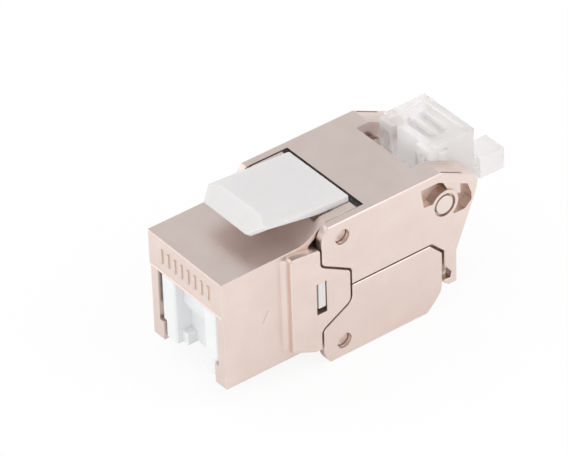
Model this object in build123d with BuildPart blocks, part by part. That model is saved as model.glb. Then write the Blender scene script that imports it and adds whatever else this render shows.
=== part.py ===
from build123d import *

import os

# Shielded keystone jack. X is across, Y runs from the socket to the cable, Z is up.
# Sizes are in millimetres. Depths count from the front face, heights from the underside
# of the front body.

# Front body
body_half = 7.25
body_height = 15.9
body_end = 20.2
body_rounding = 0.12
ramp_rounding = 4.0
header_height = 5.2
header_depth = 1.6
emboss = 0.15
post_setback = 0.15
post_rounding = 0.5
top_wall = 1.3
floor_wall = 1.3
belly_drop = 1.9
belly_length = 4.4
lug_inset = 2.75
lug_length = 1.5
lug_lead = 0.7
shoulder_length = 4.5
ramp_length = 3.5

# Socket
port_wall = 1.4
channel_step = 0.7
channel_top = 3.05
channel_setback = 4.0
plug_wall = 8.2

# Side pads with their tongues, and the slots in them
pad_length = 4.45
pad_inset = 0.3
pad_rounding = 0.2
tongue_root = 4.7
tongue_half = 2.24
tongue_root_rounding = 1.1
tongue_rounding = 0.6
tongue_low_rounding = 1.2
pad_foot = 0.75
recess_depth = 0.65
tongue_length = 4.4
tongue_setback = 1.95
slot_half_length = 0.75
slot_reach = (2.0, 2.55)

# Wings
wing_side_gap = 0.15
wing_wall = 1.1
wing_rise = 2.0
wing_drop = 2.2
wing_edge = 0.12
wing_gap = 0.25
parting_gap = 0.2
lip_gap = 0.6
lip_thickness = 0.35
lip_reach = 0.7
roof_thickness = 1.2
roof_setback = 1.0
roof_bevel = 0.4
crease_setback = 11.8
notch_wall = 3.25
notch_lead = 1.9
leg_setback = 0.6
leg_width = 1.9
cable_notch_wall = 4.3
cable_notch_length = 3.0

# Wing hinges, bosses of the body in holes of the wings
ear_flat = 0.78
ear_gap = 0.2
ear_radius = 3.05
boss_radius = 0.97
boss_setback = 0.7
pivot_clearance = 0.08

# Cable clamp in the upper wing
pin_setback = 0.69
pin_drop = 4.96
pin_radius = 1.27
pin_clearance = 0.08
pin_fit = 0.01
eye_ring = 0.7
eye_pocket = 1.35
web_setback = 0.25
eye_groove = 0.33
eye_groove_depth = 0.5
eye_wall = 0.7
hub_ring = 0.63
hub_width = 1.0
clamp_side_gap = 0.05
crossbar_drop = 3.44
crossbar_size = (2.3, 1.3)
crossbar_rise = 0.7

# Latch
latch_pivot_setback = 1.2
latch_pivot_drop = 1.05
latch_side_gap = 0.17
latch_wall = 1.3
trunnion_radius = 0.5
trunnion_clearance = 0.07
trunnion_length = 0.8
ridge_inset = 1.9
rear_inset = 0.17
nose_inset = 1.7
latch_length = 13.95
latch_nose_rise = 0.75
latch_ridge_step = 2.4
latch_ridge_rise = 2.33
latch_tail_rise = 0.8
latch_tail_sink = 0.1
latch_chin_step = 0.5
latch_chin_drop = 0.25
latch_flank_step = 2.1
latch_flank_rise = 1.57
latch_edge_height = 0.12
latch_heel_rise = 0.12
seat_lead = 0.8
latch_root_length = 1.9

# Inside of the socket and the wire block
carrier_gap = 0.1
tooth_recess = 0.1
tooth_gap = 0.1
tooth_front_gap = 0.35
tooth_low_gap = 0.75
contact_count = 8
contact_pitch = 1.02
contact_width = 0.45
contact_thickness = 0.3
contact_slack = 0.06
contact_drop = 2.0
board_gap = 0.05
board_thickness = 1.2
block_length = 7.0
block_side_gap = 1.1
rib_length = 1.5
rib_half = 0.55
block_margin = 0.35
terminal_thickness = 0.4
terminal_height = 2.2
terminal_slack = 0.02
terminal_spread = 3.4
spring_thickness = 0.2
spring_bow = 0.35
spring_length = 6.2
spring_setback = 0.6
spring_heights = (4.6, 7.6)

# Dust cap
cap_setback = 0.35
cap_length = 4.4
cap_side_gap = 0.35
cap_nub_gap = 0.05
cap_leg_gap = 0.15
cap_bevel = 0.25
cap_post = 2.6
grip_top = 3.8
grip_slope = 1.9
grip_depth = 1.4
grip_step = 1.0

# Wire manager
manager_side_gap = 0.5
manager_nub_gap = 0.08
manager_seat_gap = 0.1
manager_lead = 1.9
manager_length = 6.4
manager_rise = 0.45
rail_rise = 0.35
rail_width = 1.0
hoop_reach = 0.7
tail_half = 1.75
tail_length = 7.2
tail_head = 3.8
neck_half = 1.2

# Places worked out from these sizes
port_half = body_half - port_wall
channel_half = port_half - channel_step
lug_half = body_half - lug_inset
latch_seat_half = body_half - latch_wall
wing_inner = body_half + wing_side_gap
wing_half = wing_inner + wing_wall
notch_half = wing_half - notch_wall
cable_notch_half = wing_half - cable_notch_wall
header_low = body_height - header_height
roof_top = body_height + wing_rise
roof_low = roof_top - roof_thickness
rest_height = -wing_drop
middle_height = (roof_top + rest_height) / 2
ceiling = body_height - top_wall
tongue_end = body_end - tongue_setback
pad_rear = tongue_end - tongue_length
pad_front = pad_rear - pad_length
slot_depths = (pad_rear - slot_half_length, pad_rear + slot_half_length)
slot_heights = (middle_height - slot_reach[0], middle_height + slot_reach[1])
plug_stop = body_end - plug_wall
channel_end = plug_stop - channel_setback
belly_start = body_end - belly_length
lug_depths = (pad_front - lug_lead, pad_front - lug_lead + lug_length)
ramp_end = body_end - shoulder_length
ramp_start = ramp_end - ramp_length
roof_start = body_end + roof_setback
crease = body_end + crease_setback
notch_start = crease - notch_lead
leg_inner = crease + leg_setback
leg_outer = leg_inner + leg_width
cable_notch_start = leg_inner - cable_notch_length
pivot_depth = pad_rear + ear_gap + ear_radius
pin_depth = crease + pin_setback
latch_pivot_depth = body_end - latch_pivot_setback
manager_depths = (crease + manager_lead, crease + manager_lead + manager_length)
spring_depths = (plug_stop - spring_setback - spring_length, plug_stop - spring_setback)
pivot_inset = ear_radius - ear_flat
upper_pivot = (pivot_depth, roof_top - pivot_inset)
lower_pivot = (pivot_depth, rest_height + pivot_inset)
pin_center = (pin_depth, roof_top - pin_drop)
latch_pivot = (latch_pivot_depth, roof_top - latch_pivot_drop)
overall_length = manager_depths[1] + tail_length
front_y = -overall_length / 2
base_z = -rest_height
side = Plane(origin=(0, front_y, base_z), x_dir=(0, 1, 0), z_dir=(1, 0, 0))


def at(x, depth, height):
    """Point of the part for a distance across, a depth and a height."""
    return (x, front_y + depth, base_z + height)


def sides(inner, outer):
    """Spans across of a feature on the left and on the right."""
    return [(-outer, -inner), (inner, outer)]


def block(across, depths, heights, mode=Mode.ADD):
    """Box between two values in each direction."""
    spans = (across, depths, heights)
    with Locations(at(*[(low + high) / 2 for low, high in spans])):
        Box(*[high - low for low, high in spans], mode=mode)


def rod(center, radius, across, mode=Mode.ADD):
    """Round bar along X through a depth and height."""
    with Locations(at((across[0] + across[1]) / 2, *center)):
        Cylinder(radius, across[1] - across[0], rotation=(0, 90, 0), mode=mode)


def outline(points, across):
    """Face seen from the side, at a distance across."""
    with BuildSketch(side.offset(across)) as drawing:
        with BuildLine():
            Polyline(*points, close=True)
        make_face()
    return drawing.sketch


def plate(points, across, mode=Mode.ADD):
    """Side outline made solid between two distances across."""
    extrude(outline(points, across[0]), amount=across[1] - across[0], mode=mode)


def stamp(shape, across, mode=Mode.ADD):
    """Drawn shape, seen from the side, made solid between two distances across."""
    with BuildSketch(side.offset(across[0])) as drawing:
        add(shape)
    extrude(drawing.sketch, amount=across[1] - across[0], mode=mode)


def outer_edges(piece):
    """Edges around the two outermost side faces of a piece, without their holes."""
    faces = piece.faces().filter_by(Axis.X).sort_by(Axis.X)
    return faces[0].outer_wire().edges() + faces[-1].outer_wire().edges()


def finish(piece, name):
    """Label a piece and write it out."""
    piece.part.label = name
    export_step(piece.part, f"parts/{name}.step")


os.makedirs("parts", exist_ok=True)

# Outline of a side pad and its tongue, as offsets from the pad's rear edge and the middle height
tongue_edge = [(pad_rear, tongue_root), (tongue_end, tongue_half)]
tongue_upper = [(depth, middle_height + rise) for depth, rise in tongue_edge]
tongue_lower = [(depth, middle_height - rise) for depth, rise in reversed(tongue_edge)]
pad_corner = 0.3
pad_fall = 0.35
pad_slant = (3.4, 1.6)
pad_bottom = pad_inset
pad_top = body_height - pad_inset
pad_edge = [(pad_rear, pad_bottom), (pad_front + pad_slant[0], pad_bottom + 0.1)]
pad_edge += [(pad_front, pad_bottom + pad_slant[1]), (pad_front, pad_top - pad_corner)]
pad_edge += [(pad_front + pad_corner, pad_top), (pad_rear - pad_corner, pad_top - pad_fall)]
pad_edge += [(pad_rear, pad_top - pad_fall - pad_corner)]
pad_outline = tongue_upper + tongue_lower + pad_edge

with BuildSketch() as pad_shape:
    with BuildLine():
        Polyline(*pad_outline, close=True)
    make_face()
    fillet(pad_shape.vertices().group_by(Axis.X)[-1].sort_by(Axis.Y)[-1], tongue_rounding)
    fillet(pad_shape.vertices().group_by(Axis.X)[-1].sort_by(Axis.Y)[0], tongue_low_rounding)
    tongue_roots = pad_shape.vertices().filter_by(
        lambda corner: abs(corner.X - pad_rear) < 0.01
        and abs(corner.Y - middle_height) < tongue_root + 0.01
    )
    fillet(tongue_roots, tongue_root_rounding)

# Front housing, one casting
post_front = emboss + post_setback
shoulder_top = roof_top - 0.03
plateau_top = roof_top - 0.8
latch_seat_low = latch_pivot[1] - trunnion_radius - 0.15
latch_seat_start = latch_pivot[0] - 1.3
boss_end = wing_half - boss_setback
trunnion_end = latch_seat_half + trunnion_length
tick_heights = (header_low + 1.6, body_height - 1.6)
tick_width = 0.34
tick_pitch = 1.3

slope_run = ramp_length / (shoulder_top - body_height)
recess_low = body_height - 2.6
recess_high = shoulder_top - 0.75
recess_skin = 0.9
recess = [(pad_rear - recess_skin, recess_low), (pad_rear - recess_skin, body_height - 0.35)]
recess += [(ramp_start + recess_skin + (recess_high - body_height) * slope_run, recess_high)]
recess += [(pad_rear + 1.6, recess_high), (pad_rear + 1.6, recess_low)]



def ramp_foot(corner):
    """Whether a corner of the body's side view is the foot of the ramp."""
    return abs(corner.X - ramp_start) < 0.01 and abs(corner.Y - body_height) < 0.01


def pad_foot_shape(sign):
    """Hollow rounding, seen from above, between the body's side and the front of a pad."""
    wall = front_y + pad_front
    hollow = pad_foot * (1 - 0.5 ** 0.5)
    with BuildSketch(Plane.XY.offset(base_z + pad_bottom + pad_slant[1])) as drawing:
        with BuildLine():
            Line((sign * body_half, wall - pad_foot), (sign * body_half, wall))
            Line((sign * body_half, wall), (sign * (body_half + pad_foot), wall))
            ThreePointArc(
                (sign * (body_half + pad_foot), wall),
                (sign * (body_half + hollow), wall - hollow),
                (sign * body_half, wall - pad_foot),
            )
        make_face()
    return drawing.sketch


with BuildPart() as front_housing:
    with BuildSketch(side.offset(-body_half)) as side_view:
        with BuildLine():
            Polyline((ramp_start, body_height), (emboss, body_height), (emboss, header_low))
            Polyline((emboss, header_low), (post_front, header_low), (post_front, 0))
            Polyline((post_front, 0), (belly_start, 0), (belly_start, -belly_drop))
            Polyline((belly_start, -belly_drop), (body_end, -belly_drop), (body_end, shoulder_top))
            Line((body_end, shoulder_top), (ramp_end, shoulder_top))
            Line((ramp_end, shoulder_top), (ramp_start, body_height))
        make_face()
        fillet(side_view.vertices().filter_by(ramp_foot), ramp_rounding)
    extrude(amount=2 * body_half)
    port = (-port_half, port_half)
    block(port, (0, body_end), (channel_top, header_low), Mode.SUBTRACT)
    block(port, (header_depth, body_end), (header_low, ceiling), Mode.SUBTRACT)
    block(port, (channel_end, body_end), (floor_wall, channel_top), Mode.SUBTRACT)
    block((-channel_half, channel_half), (0, channel_end), (0, channel_top), Mode.SUBTRACT)
    upper_corners = front_housing.edges().filter_by(
        lambda edge: abs(edge.center().X) > body_half - 0.01
        and abs(edge.tangent_at(0).Y) > 0.5
        and edge.center().Z > base_z + body_height - 0.01
    )
    front_corners = front_housing.edges().filter_by(Axis.Z).filter_by(
        lambda edge: abs(edge.center().X) > body_half - 0.01
        and edge.center().Y < front_y + header_depth
    )
    fillet(upper_corners + front_corners, body_rounding)
    post_ends = front_housing.edges().filter_by(Axis.Y).filter_by(
        lambda edge: abs(edge.center().Z - base_z) < 0.01
        and edge.center().Y < front_y + belly_start
    )
    fillet(post_ends, post_rounding)
    seat = (-latch_seat_half, latch_seat_half)
    block(seat, (ramp_end - seat_lead, body_end), (plateau_top, shoulder_top), Mode.SUBTRACT)
    block(seat, (latch_seat_start, body_end), (latch_seat_low, plateau_top), Mode.SUBTRACT)
    for across in sides(body_half - recess_depth, body_half):
        plate(recess, across, Mode.SUBTRACT)
    for across in sides(body_half, wing_half):
        stamp(pad_shape.sketch, across)
    for sign in (-1, 1):
        extrude(pad_foot_shape(sign), amount=pad_top - pad_bottom - pad_slant[1] - pad_corner)
    for across in sides(port_half, wing_half):
        block(across, slot_depths, slot_heights, Mode.SUBTRACT)
    for across in sides(latch_seat_half, trunnion_end + trunnion_clearance):
        rod(latch_pivot, trunnion_radius + trunnion_clearance, across, Mode.SUBTRACT)
    fillet(outer_edges(front_housing), pad_rounding)
    for sign in (-1, 1):
        for center in (upper_pivot, lower_pivot):
            rod(center, boss_radius, sorted((sign * body_half, sign * boss_end)))
    block((-lug_half, lug_half), lug_depths, (rest_height, floor_wall))
    for index in range(contact_count):
        middle = (index - (contact_count - 1) / 2) * tick_pitch
        block((middle - tick_width / 2, middle + tick_width / 2), (0, emboss), tick_heights)
finish(front_housing, "front_housing")

# Ear of a wing, as offsets from its pivot: the end of its top edge and the round front
ear_reach = (ear_radius**2 - pivot_inset**2) ** 0.5
ear_curve = [(-ear_reach, pivot_inset), (-0.9165 * ear_radius, 0.4 * ear_radius), (-ear_radius, 0)]
ear_upper = [(upper_pivot[0] + step, upper_pivot[1] + rise) for step, rise in ear_curve]
ear_lower = [(lower_pivot[0] + step, lower_pivot[1] - rise) for step, rise in ear_curve]
with BuildSketch() as pad_clearance:
    add(pad_shape.sketch)
    offset(amount=wing_gap, kind=Kind.ARC)
upper_low = middle_height + parting_gap / 2
lower_high = middle_height - parting_gap / 2

# Upper wing, one casting: two side walls with hook legs, the roof with its notch, the cheeks
leg_split = middle_height - 1.8
hook_rise = 2.8
hook_low = rest_height + hook_rise
shank_low = 4.7
rear_overhang = 2.9
rear_drop = 5.54
hook = [(leg_inner, hook_low + 3.15), (leg_inner + 1.1, hook_low + 1.8)]
hook += [(leg_inner + 0.95, hook_low + 0.95), (leg_inner - 0.1, hook_low + 1.0)]
hook += [(leg_inner + 0.05, hook_low + 0.5), (leg_inner + 0.7, hook_low), (leg_outer, hook_low)]
rear_edge = [(leg_outer, hook_low + shank_low), (leg_outer + rear_overhang, roof_top - rear_drop)]
slope_steps = [(0, 0), (5.35, 2.5), (5.9, 3.5), (5.7, 4.6)]
slope = [(crease + step, roof_top - drop) for step, drop in slope_steps]
cheek = [(roof_start, roof_top)] + slope
cheek += [(crease + 4.7, roof_top - 4.8), (crease + 4.2, roof_top - 3.4)]
cheek += [(crease - 0.3, roof_low), (roof_start + roof_bevel, roof_low)]
groove = [(crease + 0.4, roof_top), (crease + 4.2, roof_top - 2.0)]
groove += [(crease + 4.0, roof_top - 2.55), (crease + 0.3, roof_top - 0.5)]
groove_width = 0.2
groove_inset = 0.3
window_steps = [(-3.69, 3.81), (-0.59, 3.81), (2.51, 2.26), (4.06, 1.56), (4.11, -1.04)]
window_steps += [(3.11, -1.94), (1.41, -1.94), (0, 0), (-1.69, 0.91), (-3.24, 1.06)]
window = [(pin_center[0] + step, pin_center[1] + rise) for step, rise in window_steps]
web_steps = [(-0.5, 4.0), (0.45, 3.7), (2.6, 2.5), (2.6, 0.5), (1.1, 1.0)]
eye_back_steps = [(-4.3, 4.4), (-0.4, 4.4), (2.9, 2.9), (4.6, 2.0)]
eye_back_steps += [(4.7, -1.4), (3.3, -2.9), (-4.3, -0.3)]
eye_back = [(pin_center[0] + step, pin_center[1] + rise) for step, rise in eye_back_steps]
web = [(pin_center[0] + step, pin_center[1] + rise) for step, rise in web_steps]

lip_start = body_end + 0.4
lip_end = leg_outer - 0.1
lip_low = hook_low + 0.9
lip = [(lip_start, upper_low + lip_reach), (leg_inner - 1.2, upper_low + lip_reach)]
lip += [(lip_end, leg_split), (lip_end, lip_low)]
lip += [(leg_inner - 0.9, lip_low), (leg_inner - 0.9, leg_split - 0.6)]
lip += [(leg_inner - 2.4, lower_high - lip_reach), (lip_start, lower_high - lip_reach)]
lip_root = [(lip_start, upper_low + 0.1), (leg_inner - 2.2, upper_low + 0.1)]
lip_root += [(leg_inner - 2.2, upper_low + lip_reach), (lip_start, upper_low + lip_reach)]
lip_leg = [(leg_inner + 0.2, leg_split), (lip_end, leg_split)]
lip_leg += [(lip_end, hook_low + 3.3), (leg_inner + 0.2, hook_low + 3.3)]

with BuildPart() as upper_wing:
    for across in sides(wing_inner, wing_half):
        with BuildSketch(side.offset(across[0])):
            with BuildLine():
                ThreePointArc(*ear_upper[:3])
                Polyline(*ear_upper[2:], (ear_upper[-1][0], upper_low), (leg_inner - 2, upper_low))
                Polyline((leg_inner - 2, upper_low), (leg_inner, leg_split), *hook, *rear_edge)
                Polyline(rear_edge[-1], *reversed(slope), ear_upper[0])
            make_face()
            add(pad_clearance.sketch, mode=Mode.SUBTRACT)
            with Locations(upper_pivot):
                Circle(boss_radius + pivot_clearance, mode=Mode.SUBTRACT)
        extrude(amount=wing_wall)
    for across in sides(wing_inner - eye_wall, wing_inner):
        plate(eye_back, across)
    for across in sides(wing_half - eye_pocket, wing_half):
        plate(window, across, Mode.SUBTRACT)
        rod(pin_center, pin_radius + pin_clearance + eye_ring, across)
    for across in sides(wing_half - eye_pocket, wing_half - web_setback):
        plate(web, across)
    plate(cheek, (-wing_half, wing_half))
    notch = (-notch_half, notch_half)
    block(notch, (notch_start, overall_length), (middle_height, roof_top), Mode.SUBTRACT)
    for across in sides(wing_inner - lip_gap - lip_thickness, wing_inner - lip_gap):
        plate(lip, across)
    for across in sides(wing_inner - lip_gap - lip_thickness, wing_inner):
        plate(lip_root, across)
        plate(lip_leg, across)
    for across in sides(wing_inner - eye_wall, wing_half):
        rod(pin_center, pin_radius + pin_clearance, across, Mode.SUBTRACT)
    for across in sides(wing_half - eye_groove_depth, wing_half):
        rod(pin_center, pin_radius + eye_groove, across, Mode.SUBTRACT)
    for across in sides(wing_half - groove_inset - groove_width, wing_half - groove_inset):
        plate(groove, across, Mode.SUBTRACT)
    chamfer(outer_edges(upper_wing), wing_edge)
finish(upper_wing, "upper_wing")

# Lower wing, one casting: two side walls and the bottom plate with the cable notch
lower_end = leg_inner - 0.35
lower_rear = [(lower_end - 1.85, lower_high), (lower_end, leg_split - 0.15), (lower_end, rest_height + 3.5)]
lower_bend = [(lower_end, rest_height + 3.5), (lower_end - 0.15, rest_height + 2.4)]
lower_bend += [(lower_end - 1.05, rest_height + 1.25), (lower_end - 2.35, rest_height)]
bottom_high = rest_height + roof_thickness
bottom = [(roof_start, rest_height)] + list(reversed(lower_bend))
bottom += [(lower_end - 1.25, rest_height + 3.5), (lower_end - 2.05, rest_height + 2.3)]
bottom += [(lower_end - 2.95, bottom_high), (roof_start + roof_bevel, bottom_high)]

with BuildPart() as lower_wing:
    for across in sides(wing_inner, wing_half):
        with BuildSketch(side.offset(across[0])):
            with BuildLine():
                ThreePointArc(*ear_lower[:3])
                Polyline(*ear_lower[2:], (ear_lower[-1][0], lower_high), *lower_rear)
                Polyline(*lower_bend, ear_lower[0])
            make_face()
            add(pad_clearance.sketch, mode=Mode.SUBTRACT)
            with Locations(lower_pivot):
                Circle(boss_radius + pivot_clearance, mode=Mode.SUBTRACT)
        extrude(amount=wing_wall)
    plate(bottom, (-wing_half, wing_half))
    slot = (-cable_notch_half, cable_notch_half)
    block(slot, (cable_notch_start, overall_length), (rest_height, middle_height), Mode.SUBTRACT)
    chamfer(outer_edges(lower_wing), wing_edge)
finish(lower_wing, "lower_wing")

# Keystone latch, a plastic wedge on two trunnions
latch_half = latch_seat_half - latch_side_gap
latch_end = body_end
ridge_half = latch_half - ridge_inset
rear_half = latch_half - rear_inset
nose_half = latch_half - nose_inset
root_half = latch_half - latch_side_gap
latch_nose = (latch_end - latch_length, roof_top + latch_nose_rise)
latch_ridge = (latch_nose[0] + latch_ridge_step, roof_top + latch_ridge_rise)
latch_tail = (latch_end, roof_top + latch_tail_rise)
latch_flank = (latch_nose[0] + latch_flank_step, roof_top + latch_flank_rise)
latch_edge = [latch_nose, latch_ridge, latch_tail, (latch_end, roof_top - latch_tail_sink)]
latch_edge += [(ramp_end, roof_top + latch_heel_rise), (latch_flank[0], latch_flank[1] - latch_edge_height)]
latch_edge += [(latch_nose[0] + latch_chin_step, latch_nose[1] - latch_chin_drop)]
root_low = latch_pivot[1] - trunnion_radius + trunnion_clearance
root_high = roof_top + 0.2
root_depths = (body_end - 0.35 - latch_root_length, body_end - 0.35)
root_edge = [(root_depths[0], root_high), (root_depths[1], root_high)]
root_edge += [(root_depths[1], root_low), (root_depths[0] + 0.25, root_low)]

with BuildPart() as keystone_latch:
    plate(latch_edge, (-latch_half, latch_half))
    for sign in (-1, 1):
        top_front = Vector(at(sign * ridge_half, *latch_ridge))
        top_rear = Vector(at(sign * rear_half, *latch_tail))
        low = Vector(at(sign * latch_half, *latch_flank))
        outward = (top_rear - low).cross(top_front - low) * sign
        split(bisect_by=Plane(origin=low, z_dir=outward), keep=Keep.BOTTOM)
        tip_y = front_y + latch_nose[0]
        corner = [(sign * nose_half, tip_y), (sign * latch_half, tip_y)]
        corner += [(sign * latch_half, tip_y + latch_flank_step)]
        with BuildSketch(Plane.XY.offset(base_z + roof_top)):
            with BuildLine():
                Polyline(*corner, close=True)
            make_face()
        extrude(amount=latch_ridge[1] - roof_top, mode=Mode.SUBTRACT)
    plate(root_edge, (-root_half, root_half))
    rod(latch_pivot, trunnion_radius, (-trunnion_end, trunnion_end))
finish(keystone_latch, "keystone_latch")

# Dust cap, a stopper with a grip recess that is open at the bottom
cap_front = emboss + cap_setback
cap_end = cap_front + cap_length
cap_half = port_half - cap_side_gap
grip_half = cap_half - cap_post
cap_leg_half = channel_half - cap_leg_gap
cap_split = channel_top + cap_leg_gap
cap_top = header_low - 0.2
cap_low = 0.8
grip_depths = (cap_front + grip_depth, cap_front + grip_depth + grip_step)
grip_bend = (cap_top - grip_top, cap_top - grip_top - grip_slope)
grip = [(0, cap_top), (grip_depths[0], cap_top), (grip_depths[0], grip_bend[0])]
grip += [(grip_depths[1], grip_bend[1]), (grip_depths[1], 0), (0, 0)]
grip_rib = 1.0
rib_top = 2.5
nub_heights = (cap_split, cap_split + 2.0)

with BuildPart() as dust_cap:
    block((-cap_half, cap_half), (cap_front, cap_end), (cap_split, cap_top))
    block((-cap_leg_half, cap_leg_half), (cap_front, cap_end), (cap_low, cap_split))
    plate(grip, (-grip_half, grip_half), Mode.SUBTRACT)
    for across in sides(grip_half - grip_rib, grip_half):
        block(across, (cap_front + 1.0, cap_end), (cap_low, rib_top))
    for across in sides(cap_half, port_half - cap_nub_gap):
        block(across, (cap_front + 0.4, cap_front + 2.2), nub_heights)
    chamfer(dust_cap.faces().sort_by(Axis.Y)[:2].edges(), cap_bevel)
finish(dust_cap, "dust_cap")

# Contact carrier, the plastic insert of the socket
carrier_half = port_half - carrier_gap
carrier_heights = (floor_wall + carrier_gap, ceiling - carrier_gap)
comb_heights = (header_low + carrier_gap, ceiling - carrier_gap)
comb_front = header_depth + carrier_gap
contact_level = ceiling - contact_drop
contact_half = contact_width / 2 + contact_slack
contact_rise = contact_thickness / 2 + contact_slack
contact_levels = (contact_level - contact_rise, contact_level + contact_rise)
contact_xs = [(index - (contact_count - 1) / 2) * contact_pitch for index in range(contact_count)]
contact_front = comb_front + 1.5

with BuildPart() as contact_carrier:
    block((-carrier_half, carrier_half), (comb_front, body_end), comb_heights)
    block((-carrier_half, carrier_half), (plug_stop, body_end), carrier_heights)
    tooth_depths = (slot_depths[0] + tooth_front_gap, slot_depths[1] - tooth_gap)
    tooth_heights = (slot_heights[0] + tooth_low_gap, slot_heights[1] - tooth_gap)
    block((-wing_half + tooth_recess, wing_half - tooth_recess), tooth_depths, tooth_heights)
    for x in contact_xs:
        across = (x - contact_half, x + contact_half)
        comb_slot = (comb_heights[0], contact_levels[1])
        block(across, (contact_front - 0.5, plug_stop), comb_slot, Mode.SUBTRACT)
        block(across, (plug_stop, body_end), contact_levels, Mode.SUBTRACT)
finish(contact_carrier, "contact_carrier")

# Socket contacts: along the ceiling, around the front and back down into the port
board_depths = (body_end + board_gap, body_end + board_gap + board_thickness)
contact_path = [(board_depths[1], contact_level), (contact_front + 0.4, contact_level)]
contact_path += [(contact_front, contact_level - 0.5), (contact_front + 0.4, contact_level - 1.0)]
contact_path += [(plug_stop - 2.1, contact_level - 3.9)]

for index, x in enumerate(contact_xs):
    with BuildPart() as contact:
        with BuildSketch(side.offset(x)):
            with BuildLine():
                Polyline(*contact_path)
            trace(line_width=contact_thickness)
        extrude(amount=contact_width / 2, both=True)
    finish(contact, f"contact_{index + 1}")

# Circuit board between the socket and the wire block
board_half = wing_inner - 1.2
board_heights = (floor_wall - 0.1, ceiling + 0.1)

with BuildPart() as circuit_board:
    block((-board_half, board_half), board_depths, board_heights)
    for x in contact_xs:
        block((x - contact_half, x + contact_half), board_depths, contact_levels, Mode.SUBTRACT)
finish(circuit_board, "circuit_board")

# Wire block with ribs between the terminals
block_half = wing_inner - block_side_gap
block_depths = (board_depths[1] + board_gap, board_depths[1] + board_gap + block_length)
block_heights = (floor_wall + 0.2, ceiling - 0.2)
terminal_levels = (middle_height + terminal_spread, middle_height - terminal_spread)
terminal_pitch = (block_half - rib_half - block_margin) / 2
terminal_xs = [(index - 1.5) * terminal_pitch for index in range(4)]
terminal_places = [(x, level) for level in terminal_levels for x in terminal_xs]
rib_rise = terminal_height

with BuildPart() as idc_housing:
    block((-block_half, block_half), block_depths, block_heights)
    for level in terminal_levels:
        for index in range(5):
            x = (index - 2) * terminal_pitch
            ribs = (block_depths[0], block_depths[1] + rib_length)
            block((x - rib_half, x + rib_half), ribs, (level - rib_rise, level + rib_rise))
    for x, level in terminal_places:
        half = terminal_thickness / 2 + terminal_slack
        tall = terminal_height / 2 + terminal_slack
        block((x - half, x + half), block_depths, (level - tall, level + tall), Mode.SUBTRACT)
finish(idc_housing, "idc_housing")

# Wire terminals, blades with a slot that grips the wire
terminal_end = block_depths[1] + rib_length - 0.2
fork_length = 2.6
fork_gap = 0.36
tip = 0.5

for index, (x, level) in enumerate(terminal_places):
    with BuildPart() as terminal:
        across = (x - terminal_thickness / 2, x + terminal_thickness / 2)
        high = level + terminal_height / 2
        low = level - terminal_height / 2
        blade = [(block_depths[0], low), (terminal_end - tip, low), (terminal_end, low + tip)]
        blade += [(terminal_end, high - tip), (terminal_end - tip, high), (block_depths[0], high)]
        plate(blade, across)
        fork = (level - fork_gap / 2, level + fork_gap / 2)
        block(across, (terminal_end - fork_length, terminal_end), fork, Mode.SUBTRACT)
    finish(terminal, f"idc_terminal_{index + 1}")

# Cable clamp, a yoke that swings on two pins
hub_radius = pin_radius + hub_ring
hub_inner = notch_half + clamp_side_gap
hub_outer = hub_inner + hub_width
crossbar_high = pin_center[1] - crossbar_drop
crossbar_heights = (crossbar_high - crossbar_size[1], crossbar_high)
crossbar_depths = (pin_center[0] + 1.2, pin_center[0] + 1.2 + crossbar_size[0])
arm = [(pin_center[0] - 1.5, pin_center[1] - 0.75), (crossbar_depths[0], crossbar_heights[0])]
arm += [(crossbar_depths[1], crossbar_heights[0]), (crossbar_depths[1], crossbar_heights[1])]
arm += [(pin_center[0] + 1.7, pin_center[1] + 0.55)]
arch_radius = 6.6

with BuildPart() as cable_clamp:
    block((-hub_outer, hub_outer), crossbar_depths, crossbar_heights)
    with Locations(at(0, sum(crossbar_depths) / 2, crossbar_heights[0] + crossbar_rise - arch_radius)):
        Cylinder(arch_radius, 2 * crossbar_size[0], rotation=(90, 0, 0), mode=Mode.SUBTRACT)
    for across in sides(hub_inner, hub_outer):
        rod(pin_center, hub_radius, across)
        plate(arm, across)
        rod(pin_center, pin_radius + pin_fit, across, Mode.SUBTRACT)
finish(cable_clamp, "cable_clamp")

for across, name in zip(sides(hub_inner, wing_half), ("left", "right")):
    with BuildPart() as clamp_pin:
        rod(pin_center, pin_radius, across)
    finish(clamp_pin, f"clamp_pin_{name}")

# Wire manager, a clear block parked in the notch, with a tail for a cable tie
manager_half = notch_half - manager_side_gap
manager_heights = (crossbar_high + manager_seat_gap, roof_top + manager_rise)
hoop_depths = (manager_depths[0] - hoop_reach, manager_depths[0])
hoop_inner = 2.15
hoop_bar = 0.9
hoop_heights = (manager_heights[0] + 2.9, manager_heights[1])
hoop_arch = 1.25
rim_depths = (manager_depths[1] - 0.9, manager_depths[1])
wire_slots = (manager_depths[0] + 1.8, manager_depths[0] + 3.7)
wire_slot_size = (4.8, 0.7, 1.15)
head_heights = (manager_heights[0] - 1.8, manager_heights[0] + 1.3)

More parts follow.
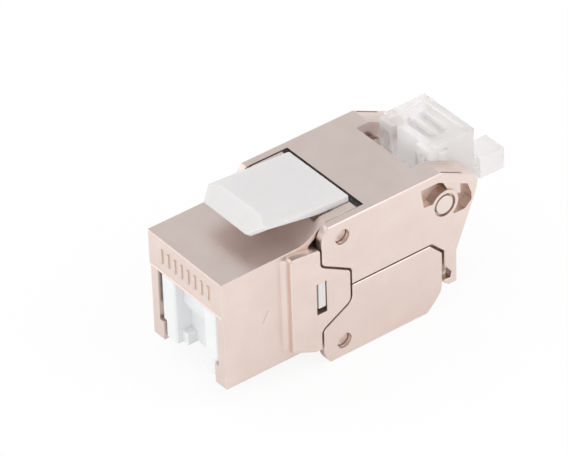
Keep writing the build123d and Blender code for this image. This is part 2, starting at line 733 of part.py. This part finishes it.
with BuildPart() as wire_manager:
    whole = (-manager_half, manager_half)
    rail_heights = (manager_heights[1], manager_heights[1] + rail_rise)
    block(whole, manager_depths, manager_heights)
    block(whole, rim_depths, rail_heights)
    for across in sides(manager_half - rail_width, manager_half):
        block(across, manager_depths, rail_heights)
    for across in sides(manager_half, notch_half - manager_nub_gap):
        block(across, (manager_depths[0] + 0.7, manager_depths[0] + 2.1), (roof_low - 2, roof_top))
    for across in sides(hoop_inner, manager_half):
        block(across, hoop_depths, (hoop_heights[1] - hoop_arch, hoop_heights[1]))
    for across in sides(hoop_inner, hoop_inner + hoop_bar) + sides(manager_half - hoop_bar, manager_half):
        block(across, hoop_depths, hoop_heights)
    for depth in wire_slots:
        half = wire_slot_size[0] / 2
        floor = manager_heights[1] - wire_slot_size[2]
        block((-half, half), (depth, depth + wire_slot_size[1]), (floor, manager_heights[1]), Mode.SUBTRACT)
    neck = (manager_depths[1], overall_length - tail_head)
    block((-neck_half, neck_half), neck, (manager_heights[0], head_heights[1] - 0.2))
    block((-tail_half, tail_half), (neck[1], overall_length), head_heights)
finish(wire_manager, "wire_manager")

# Ground springs on the side walls of the port
spring_middle = sum(spring_depths) / 2

for sign, name in ((-1, "left"), (1, "right")):
    with BuildPart() as ground_spring:
        with BuildSketch(Plane(origin=at(0, 0, spring_heights[0]), x_dir=(1, 0, 0), z_dir=(0, 0, 1))):
            with BuildLine():
                wall = sign * (port_half - spring_thickness / 2)
                bow = (wall - sign * spring_bow, spring_middle)
                Spline((wall, spring_depths[0]), bow, (wall, spring_depths[1]))
            trace(line_width=spring_thickness)
        extrude(amount=spring_heights[1] - spring_heights[0])
    finish(ground_spring, f"ground_spring_{name}")
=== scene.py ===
import math

import bmesh
import bpy
from mathutils import Matrix, Vector


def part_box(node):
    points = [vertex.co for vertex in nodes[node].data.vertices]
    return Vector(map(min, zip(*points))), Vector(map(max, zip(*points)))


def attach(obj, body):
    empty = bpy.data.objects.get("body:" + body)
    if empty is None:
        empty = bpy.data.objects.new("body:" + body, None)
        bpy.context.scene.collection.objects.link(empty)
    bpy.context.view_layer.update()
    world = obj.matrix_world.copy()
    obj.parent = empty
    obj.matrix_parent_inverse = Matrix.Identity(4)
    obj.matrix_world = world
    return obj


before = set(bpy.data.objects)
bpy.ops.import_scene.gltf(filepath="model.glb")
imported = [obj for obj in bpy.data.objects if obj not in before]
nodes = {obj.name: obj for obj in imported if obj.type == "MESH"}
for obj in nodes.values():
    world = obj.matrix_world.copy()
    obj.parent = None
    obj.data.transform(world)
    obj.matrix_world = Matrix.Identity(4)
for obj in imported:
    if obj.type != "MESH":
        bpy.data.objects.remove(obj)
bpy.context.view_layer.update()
scene = bpy.context.scene
scene.view_settings.view_transform = "Standard"
MM = 0.001

# Where depth 0 and height 0 of the jack lie in the frame, in metres
FRONT_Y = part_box("front_housing")[0].y
BASE_Z = 2.2 * MM


def at(x, depth, height):
    """Point of the frame for a distance across, a depth and a height in millimetres."""
    return Vector((x * MM, FRONT_Y + depth * MM, BASE_Z + height * MM))


# Camera at the photograph's angle: its lens, its axes and its place in the frame
PHOTO_WIDTH = 568
FOCAL_PIXELS = 4500
SENSOR_MM = 36
CLIP_RANGE = (0.01, 10)
RIGHT = Vector((0.60922, 0.79255, -0.02688))
UP = Vector((-0.46319, 0.38314, 0.79916))
BACK = Vector((0.64367, -0.47441, 0.60052))
EYE = Vector((0.34528, -0.26336, 0.33743))


def make_camera():
    data = bpy.data.cameras.new("camera")
    data.sensor_width = SENSOR_MM
    data.lens = SENSOR_MM * FOCAL_PIXELS / PHOTO_WIDTH
    data.clip_start, data.clip_end = CLIP_RANGE
    camera = bpy.data.objects.new("camera", data)
    scene.collection.objects.link(camera)
    rows = [[RIGHT[i], UP[i], BACK[i], EYE[i]] for i in range(3)]
    camera.matrix_world = Matrix(rows + [[0, 0, 0, 1]])
    scene.camera = camera


make_camera()

# Part of a noise value's span that is used, since the ends are rare
NOISE_START, NOISE_END = 0.3, 0.7
# Openness below which the painted shade of a hollow has its full effect, and above which it has none
RECESS_SHUT, RECESS_OPEN = 0.35, 0.85
RECESS_SAMPLES = 6
# Share of a mark's width that has its full effect
MARK_CORE = 0.3


class Paint:
    """A node material under construction, with short ways to add and link nodes."""

    def __init__(self, name):
        self.material = bpy.data.materials.new(name)
        self.material.use_nodes = True
        self.tree = self.material.node_tree
        self.shader = self.tree.nodes["Principled BSDF"]
        self.place = self.add("ShaderNodeTexCoord").outputs["Object"]

    def add(self, kind, **settings):
        node = self.tree.nodes.new(kind)
        for key, value in settings.items():
            setattr(node, key, value)
        return node

    def link(self, source, target):
        self.tree.links.new(source, target)

    def noise(self, size_mm, detail=3, rough=0.5, stretch=(1, 1, 1)):
        """Noise whose features are about size_mm across."""
        scale = self.add("ShaderNodeVectorMath", operation="MULTIPLY")
        scale.inputs[1].default_value = stretch
        self.link(self.place, scale.inputs[0])
        node = self.add("ShaderNodeTexNoise")
        node.inputs["Scale"].default_value = 1 / (size_mm * MM)
        node.inputs["Detail"].default_value = detail
        node.inputs["Roughness"].default_value = rough
        self.link(scale.outputs[0], node.inputs["Vector"])
        return node.outputs["Fac"]

    def spread(self, value, low, high, start=NOISE_START, end=NOISE_END):
        """Map start to end of a value to low to high."""
        node = self.add("ShaderNodeMapRange")
        keys = ("From Min", "From Max", "To Min", "To Max")
        for key, number in zip(keys, (start, end, low, high)):
            node.inputs[key].default_value = number
        self.link(value, node.inputs["Value"])
        return node.outputs["Result"]

    def combine(self, operation, first, second):
        """Arithmetic on two values, each a socket or a number."""
        node = self.add("ShaderNodeMath", operation=operation)
        for socket, value in zip(node.inputs, (first, second)):
            if isinstance(value, (int, float)):
                socket.default_value = value
            else:
                self.link(value, socket)
        return node.outputs[0]

    def mix(self, factor, first, second):
        """Mix of two colours, each a socket or a tuple."""
        node = self.add("ShaderNodeMix", data_type="RGBA")
        self.link(factor, node.inputs["Factor"])
        for key, value in (("A", first), ("B", second)):
            socket = [s for s in node.inputs if s.name == key and s.type == "RGBA"][0]
            if isinstance(value, tuple):
                socket.default_value = (*value, 1)
            else:
                self.link(value, socket)
        return [s for s in node.outputs if s.type == "RGBA"][0]

    def bump(self, height, distance_mm, strength=1.0, normal=None):
        """Normal of a surface with the given height, on top of another normal if there is one."""
        node = self.add("ShaderNodeBump")
        node.inputs["Strength"].default_value = strength
        node.inputs["Distance"].default_value = distance_mm * MM
        self.link(height, node.inputs["Height"])
        if normal is not None:
            self.link(normal, node.inputs["Normal"])
        return node.outputs["Normal"]

    def recess_shade(self, reach_mm, most):
        """Painted shade: 0 on open faces, up to most deep in the node's own recesses."""
        node = self.add("ShaderNodeAmbientOcclusion", samples=RECESS_SAMPLES, only_local=True)
        node.inputs["Distance"].default_value = reach_mm * MM
        return self.spread(node.outputs["AO"], most, 0, RECESS_SHUT, RECESS_OPEN)

    def segment(self, start, end, width_mm):
        """1 on a straight mark between two points of the frame, 0 away from it."""
        along = end - start
        offset = self.add("ShaderNodeVectorMath", operation="SUBTRACT")
        self.link(self.place, offset.inputs[0])
        offset.inputs[1].default_value = start
        share = self.add("ShaderNodeVectorMath", operation="DOT_PRODUCT")
        self.link(offset.outputs[0], share.inputs[0])
        share.inputs[1].default_value = along / along.length_squared
        nearest = self.add("ShaderNodeVectorMath", operation="SCALE")
        nearest.inputs[0].default_value = along
        self.link(self.spread(share.outputs["Value"], 0, 1, 0, 1), nearest.inputs["Scale"])
        apart = self.add("ShaderNodeVectorMath", operation="DISTANCE")
        self.link(offset.outputs[0], apart.inputs[0])
        self.link(nearest.outputs[0], apart.inputs[1])
        width = width_mm * MM
        return self.spread(apart.outputs["Value"], 1, 0, MARK_CORE * width, width)

    def set(self, **values):
        """Set or link inputs of the shader, with _ for a space in their names."""
        for key, value in values.items():
            socket = self.shader.inputs[key.replace("_", " ")]
            if isinstance(value, (int, float, tuple)):
                socket.default_value = value
            else:
                self.link(value, socket)
        return self.material


# Colours of the nickel plating
NICKEL_LOW = (0.83, 0.70, 0.645)
NICKEL_HIGH = (0.87, 0.745, 0.69)
NICKEL_SPECK = (0.62, 0.50, 0.45)
# Brown of the painted shade in the casting's hollows
NICKEL_PAINTED_SHADE = (0.50, 0.385, 0.29)
NICKEL_SCRATCH = (0.55, 0.44, 0.38)


def nickel(name, warm=1.0, fine=1.0, scratch=None):
    """Satin nickel plating on a casting: fine grain, faint clouds, uneven gloss, and painted shade that
    makes it browner in recesses.

    warm scales the green and blue of its colour, fine the depth of its grain."""
    paint = Paint(name)
    low, high = [(red, green * warm, blue * warm) for red, green, blue in (NICKEL_LOW, NICKEL_HIGH)]
    clouds = paint.noise(size_mm=3.2)
    grain = paint.noise(size_mm=0.11, detail=2, rough=0.6)
    speck = paint.noise(size_mm=0.35, detail=4, rough=0.7)
    colour = paint.mix(paint.spread(clouds, low=0, high=1), low, high)
    specks = paint.spread(speck, low=0, high=0.10, start=0.55, end=0.75)
    colour = paint.mix(specks, colour, NICKEL_SPECK)
    # Painted shade: browner and darker in the casting's own recesses
    colour = paint.mix(paint.recess_shade(reach_mm=1.6, most=0.45), colour, NICKEL_PAINTED_SHADE)
    fine_gloss = paint.spread(grain, low=0.28, high=0.36)
    roughness = paint.combine("ADD", fine_gloss, paint.spread(clouds, low=0, high=0.05))
    normal = paint.bump(grain, distance_mm=0.005, strength=0.6 * fine)
    normal = paint.bump(speck, distance_mm=0.012, strength=0.45 * fine, normal=normal)
    if scratch:
        mark = paint.segment(*scratch)
        colour = paint.mix(paint.combine("MULTIPLY", mark, 0.4), colour, NICKEL_SCRATCH)
        groove = paint.combine("SUBTRACT", 1, mark)
        normal = paint.bump(groove, distance_mm=0.01, strength=0.6, normal=normal)
    return paint.set(Base_Color=colour, Metallic=1.0, Roughness=roughness, Normal=normal)


def moulded(name, low, high, roughness, subsurface, depth_mm=0.6, texture=0.35):
    """Moulded plastic with a fine matt texture, which lets light in to about depth_mm."""
    paint = Paint(name)
    clouds = paint.noise(size_mm=4.0)
    grain = paint.noise(size_mm=0.09, detail=2, rough=0.6)
    return paint.set(
        Base_Color=paint.mix(paint.spread(clouds, low=0, high=1), low, high),
        Roughness=paint.spread(grain, low=roughness - 0.05, high=roughness + 0.06),
        Normal=paint.bump(grain, distance_mm=0.004, strength=texture),
        IOR=1.5,
        Subsurface_Weight=subsurface,
        Subsurface_Radius=(1.0, 0.95, 0.9),
        Subsurface_Scale=depth_mm * MM,
    )


def clear(name):
    """Clear plastic, milky from its moulded texture, with faint flow lines.

    The real piece is a thin shell, which hardly bends the light, so the solid here has a low IOR."""
    paint = Paint(name)
    flow = paint.noise(size_mm=1.6, stretch=(1, 0.4, 1))
    grain = paint.noise(size_mm=0.12, detail=2, rough=0.6)
    waves = paint.bump(flow, distance_mm=0.02, strength=0.4)
    return paint.set(
        Base_Color=paint.mix(
            paint.spread(flow, low=0, high=1), (0.99, 0.962, 0.96), (1.0, 0.986, 0.982)
        ),
        Roughness=paint.spread(flow, low=0.14, high=0.22),
        Normal=paint.bump(grain, distance_mm=0.003, strength=0.3, normal=waves),
        Transmission_Weight=0.58,
        IOR=1.12,
        Subsurface_Weight=0.4,
        Subsurface_Radius=(1.0, 0.97, 0.98),
        Subsurface_Scale=1.5 * MM,
    )


def plated(name, colour, dark, roughness):
    """Thin plated metal with drawn lines along its length."""
    paint = Paint(name)
    lines = paint.noise(size_mm=0.12, rough=0.6, stretch=(1, 0.06, 1))
    return paint.set(
        Base_Color=paint.mix(paint.spread(lines, low=0, high=1), dark, colour),
        Metallic=1.0,
        Roughness=paint.spread(lines, low=roughness - 0.05, high=roughness + 0.08),
        Normal=paint.bump(lines, distance_mm=0.002, strength=0.4),
    )


def laminate(name, weave_mm=0.5):
    """Circuit board with its solder resist over a weave."""
    paint = Paint(name)
    weave = paint.add("ShaderNodeTexChecker")
    weave.inputs["Scale"].default_value = 1 / (weave_mm * MM)
    paint.link(paint.place, weave.inputs["Vector"])
    clouds = paint.noise(size_mm=1.5)
    return paint.set(
        Base_Color=paint.mix(
            paint.spread(clouds, low=0, high=1), (0.012, 0.075, 0.035), (0.02, 0.11, 0.05)
        ),
        Roughness=0.3,
        Normal=paint.bump(weave.outputs["Fac"], distance_mm=0.004, strength=0.3),
    )


# Faint scratch on the right side of the front housing: its two ends and its width in millimetres
SCRATCH = (at(7.25, 6.0, 7.5), at(7.25, 6.8, 8.9), 0.2)

die_cast = nickel("die_cast")
scuffed_cast = nickel("scuffed_cast", scratch=SCRATCH)
pin_metal = nickel("pin_metal", warm=1.035, fine=2.0)
latch_plastic = moulded(
    "latch_plastic", (0.715, 0.70, 0.705), (0.74, 0.725, 0.73), roughness=0.36, subsurface=0.6, depth_mm=1.6
)
white_plastic = moulded(
    "white_plastic", (0.785, 0.795, 0.805), (0.815, 0.825, 0.835), roughness=0.34, subsurface=0.2
)
# Greyer copy of the white plastic: painted shade, for the carrier's tooth that sits in its slot
shaded_carrier_plastic = moulded(
    "shaded_carrier_plastic", (0.70, 0.675, 0.66), (0.73, 0.705, 0.69), roughness=0.4, subsurface=0.1
)
clear_plastic = clear("clear_plastic")
board = laminate("board")
gold_plate = plated("gold_plate", (0.93, 0.68, 0.32), (0.80, 0.55, 0.22), roughness=0.22)
tinned_bronze = plated("tinned_bronze", (0.74, 0.70, 0.64), (0.62, 0.57, 0.50), roughness=0.3)

# Edge rounding: points closer than the weld are one, faces within the flat angle are one face,
# and edges sharper than the sharp angle are rounded
WELD_DISTANCE = 1e-6
FLAT_ANGLE = math.radians(0.5)
SHARP_ANGLE = math.radians(28)
BEVEL_SEGMENTS = 2
NORMAL_WEIGHT = 80


def soften(piece, width_mm):
    """Round the sharp edges of a piece a little, by modifiers alone."""
    weld = piece.modifiers.new("weld", "WELD")
    weld.merge_threshold = WELD_DISTANCE
    flat = piece.modifiers.new("flat", "DECIMATE")
    flat.decimate_type = "DISSOLVE"
    flat.angle_limit = FLAT_ANGLE
    bevel = piece.modifiers.new("bevel", "BEVEL")
    bevel.width = width_mm * MM
    bevel.segments = BEVEL_SEGMENTS
    bevel.limit_method = "ANGLE"
    bevel.angle_limit = SHARP_ANGLE
    bevel.miter_outer = "MITER_ARC"
    bevel.use_clamp_overlap = True
    normals = piece.modifiers.new("normals", "WEIGHTED_NORMAL")
    normals.weight = NORMAL_WEIGHT
    normals.keep_sharp = False


def dress(node_name, material, width_mm=0.0):
    """Give a CAD node its material, and round its edges where a width is given."""
    node = nodes[node_name]
    node.data.materials.clear()
    node.data.materials.append(material)
    if width_mm:
        soften(node, width_mm)


dress("front_housing", scuffed_cast, width_mm=0.06)
for name in ("upper_wing", "lower_wing"):
    dress(name, die_cast, width_mm=0.06)
dress("cable_clamp", die_cast, width_mm=0.12)
for name in ("clamp_pin_left", "clamp_pin_right"):
    dress(name, pin_metal, width_mm=0.12)
dress("keystone_latch", latch_plastic, width_mm=0.26)
dress("dust_cap", white_plastic, width_mm=0.15)
# Painted shade: the carrier takes the greyer copy of the white plastic
dress("contact_carrier", shaded_carrier_plastic, width_mm=0.06)
# The wire block stays sharp, because rounding tears the faces of its comb
dress("idc_housing", white_plastic)
dress("wire_manager", clear_plastic, width_mm=0.14)
dress("circuit_board", board)
for index in range(1, 9):
    dress(f"contact_{index}", gold_plate)
    dress(f"idc_terminal_{index}", tinned_bronze, width_mm=0.04)
for side in ("left", "right"):
    dress(f"ground_spring_{side}", tinned_bronze)

# Thin cast trim: distances across, and outlines of depth and height, in millimetres
HEADER_ACROSS = (-7.1, 7.1)
BEAD_OUTLINE = ((0.17, 10.99), (0.04, 10.86), (0.04, 10.80), (0.17, 10.72))
RIM_OUTLINE = ((0.22, 15.87), (0.07, 15.74), (0.07, 15.70), (0.17, 15.62))
WEB_RIGHT = (6.45, 6.8)
WEB_LEFT = (-6.45, -6.8)
WEB_OUTLINE = ((32.5, 1.62), (34.4, 1.62), (34.4, 0.95), (34.1, 0.68), (32.75, 0.68), (32.5, 0.9))


def make_trim(name, outline, across, body, width_mm):
    """Bar with the given outline from one distance across to another, on the body that carries it."""
    shape = bmesh.new()
    rings = [[shape.verts.new(at(x, depth, height)) for depth, height in outline] for x in across]
    count = len(outline)
    for step in range(count):
        after = (step + 1) % count
        shape.faces.new((rings[0][step], rings[0][after], rings[1][after], rings[1][step]))
    for ring in rings:
        shape.faces.new(ring)
    bmesh.ops.recalc_face_normals(shape, faces=shape.faces)
    mesh = bpy.data.meshes.new(name)
    shape.to_mesh(mesh)
    shape.free()
    trim = bpy.data.objects.new(name, mesh)
    scene.collection.objects.link(trim)
    mesh.materials.append(die_cast)
    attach(trim, body)
    soften(trim, width_mm)


make_trim("header_bead", BEAD_OUTLINE, HEADER_ACROSS, "body", width_mm=0.02)
make_trim("header_rim", RIM_OUTLINE, HEADER_ACROSS, "body", width_mm=0.02)
make_trim("hook_web_right", WEB_OUTLINE, WEB_RIGHT, "upper_wing", width_mm=0.06)
make_trim("hook_web_left", WEB_OUTLINE, WEB_LEFT, "upper_wing", width_mm=0.06)

# Studio: pale floor, even world light and soft boxes, in metres and watts
FLOOR_HALF = 1.5
FLOOR_LOW = (0.935, 0.935, 0.935)
FLOOR_HIGH = (0.95, 0.95, 0.95)
# Share of plain white in the floor as the camera sees it, and as gloss and glass show it
FLOOR_SEEN, FLOOR_MIRRORED = 0.88, 0.1
WORLD_COLOUR = (1.0, 0.995, 0.99, 1)
WORLD_STRENGTH = 0.9
# Seen backdrop: white up to one height of the view direction, greyer from another
BACKDROP = ((0.05, (1, 1, 1, 1)), (0.6, (0.65, 0.655, 0.67, 1)))
LAMP_AIM = Vector((0, 0, 0.01))
# Name, direction, distance, size, power, and whether metal mirrors the lamp
LAMPS = (
    ("key", (0.62, 0.45, 0.66), 0.55, (0.36, 0.36), 0.35, False),
    ("edge", (0.61, 0.47, 0.645), 0.5, (0.16, 0.16), 0.14, True),
    ("fill", (-0.62, -0.62, 0.48), 0.6, (0.40, 0.45), 0.32, True),
    ("front", (0.30, -0.90, 0.24), 0.7, (0.8, 0.26), 1.1, False),
)


def seen_rays(tree, camera, mirror):
    """camera for rays of the camera, mirror for rays of gloss and glass, 0 for rays that light."""
    path = tree.nodes.new("ShaderNodeLightPath")
    value = None
    shares = (("Is Camera Ray", camera), ("Is Glossy Ray", mirror), ("Is Transmission Ray", mirror))
    for name, share in shares:
        scaled = tree.nodes.new("ShaderNodeMath")
        scaled.operation = "MULTIPLY"
        scaled.inputs[1].default_value = share
        tree.links.new(path.outputs[name], scaled.inputs[0])
        if value is None:
            value = scaled.outputs[0]
            continue
        larger = tree.nodes.new("ShaderNodeMath")
        larger.operation = "MAXIMUM"
        tree.links.new(value, larger.inputs[0])
        tree.links.new(scaled.outputs[0], larger.inputs[1])
        value = larger.outputs[0]
    return value


def make_floor():
    """Pale floor: seen, it is lifted to white but keeps the shadow."""
    half = FLOOR_HALF
    corners = [(-half, -half, 0), (half, -half, 0), (half, half, 0), (-half, half, 0)]
    mesh = bpy.data.meshes.new("floor")
    mesh.from_pydata(corners, [], [(0, 1, 2, 3)])
    floor = bpy.data.objects.new("floor", mesh)
    scene.collection.objects.link(floor)
    paint = Paint("floor")
    clouds = paint.noise(size_mm=60, detail=2)
    colour = paint.mix(paint.spread(clouds, low=0, high=1), FLOOR_LOW, FLOOR_HIGH)
    paint.set(Base_Color=colour, Roughness=0.9, Specular_IOR_Level=0.0)
    glow = paint.add("ShaderNodeEmission")
    glow.inputs["Strength"].default_value = 1.0
    mix = paint.add("ShaderNodeMixShader")
    paint.link(seen_rays(paint.tree, FLOOR_SEEN, FLOOR_MIRRORED), mix.inputs["Fac"])
    paint.link(paint.shader.outputs[0], mix.inputs[1])
    paint.link(glow.outputs[0], mix.inputs[2])
    paint.link(mix.outputs[0], paint.tree.nodes["Material Output"].inputs["Surface"])
    mesh.materials.append(paint.material)


def make_world():
    """Even light for the object; what is seen and mirrored is a white backdrop with a greyer top."""
    world = bpy.data.worlds.new("studio")
    scene.world = world
    world.use_nodes = True
    tree = world.node_tree
    tree.nodes.clear()
    output = tree.nodes.new("ShaderNodeOutputWorld")
    light = tree.nodes.new("ShaderNodeBackground")
    light.inputs["Color"].default_value = WORLD_COLOUR
    light.inputs["Strength"].default_value = WORLD_STRENGTH
    seen = tree.nodes.new("ShaderNodeBackground")
    coords = tree.nodes.new("ShaderNodeTexCoord")
    split = tree.nodes.new("ShaderNodeSeparateXYZ")
    ramp = tree.nodes.new("ShaderNodeValToRGB")
    for stop, (position, colour) in zip(ramp.color_ramp.elements, BACKDROP):
        stop.position = position
        stop.color = colour
    mix = tree.nodes.new("ShaderNodeMixShader")
    links = [
        (coords.outputs["Generated"], split.inputs[0]),
        (split.outputs["Z"], ramp.inputs["Fac"]),
        (ramp.outputs["Color"], seen.inputs["Color"]),
        (seen_rays(tree, 1, 1), mix.inputs["Fac"]),
        (light.outputs[0], mix.inputs[1]),
        (seen.outputs[0], mix.inputs[2]),
        (mix.outputs[0], output.inputs["Surface"]),
    ]
    for source, target in links:
        tree.links.new(source, target)


def soft_box(name, direction, distance, size, power, mirrored):
    """Rectangular lamp in the given direction, aimed at the middle of the jack."""
    data = bpy.data.lights.new(name, "AREA")
    data.shape = "RECTANGLE"
    data.size, data.size_y = size
    data.energy = power
    lamp = bpy.data.objects.new(name, data)
    lamp.visible_glossy = mirrored
    towards = Vector(direction).normalized()
    lamp.location = LAMP_AIM + towards * distance
    lamp.rotation_mode = "QUATERNION"
    lamp.rotation_quaternion = towards.to_track_quat("Z", "Y")
    scene.collection.objects.link(lamp)


make_floor()
make_world()
for lamp_settings in LAMPS:
    soft_box(*lamp_settings)
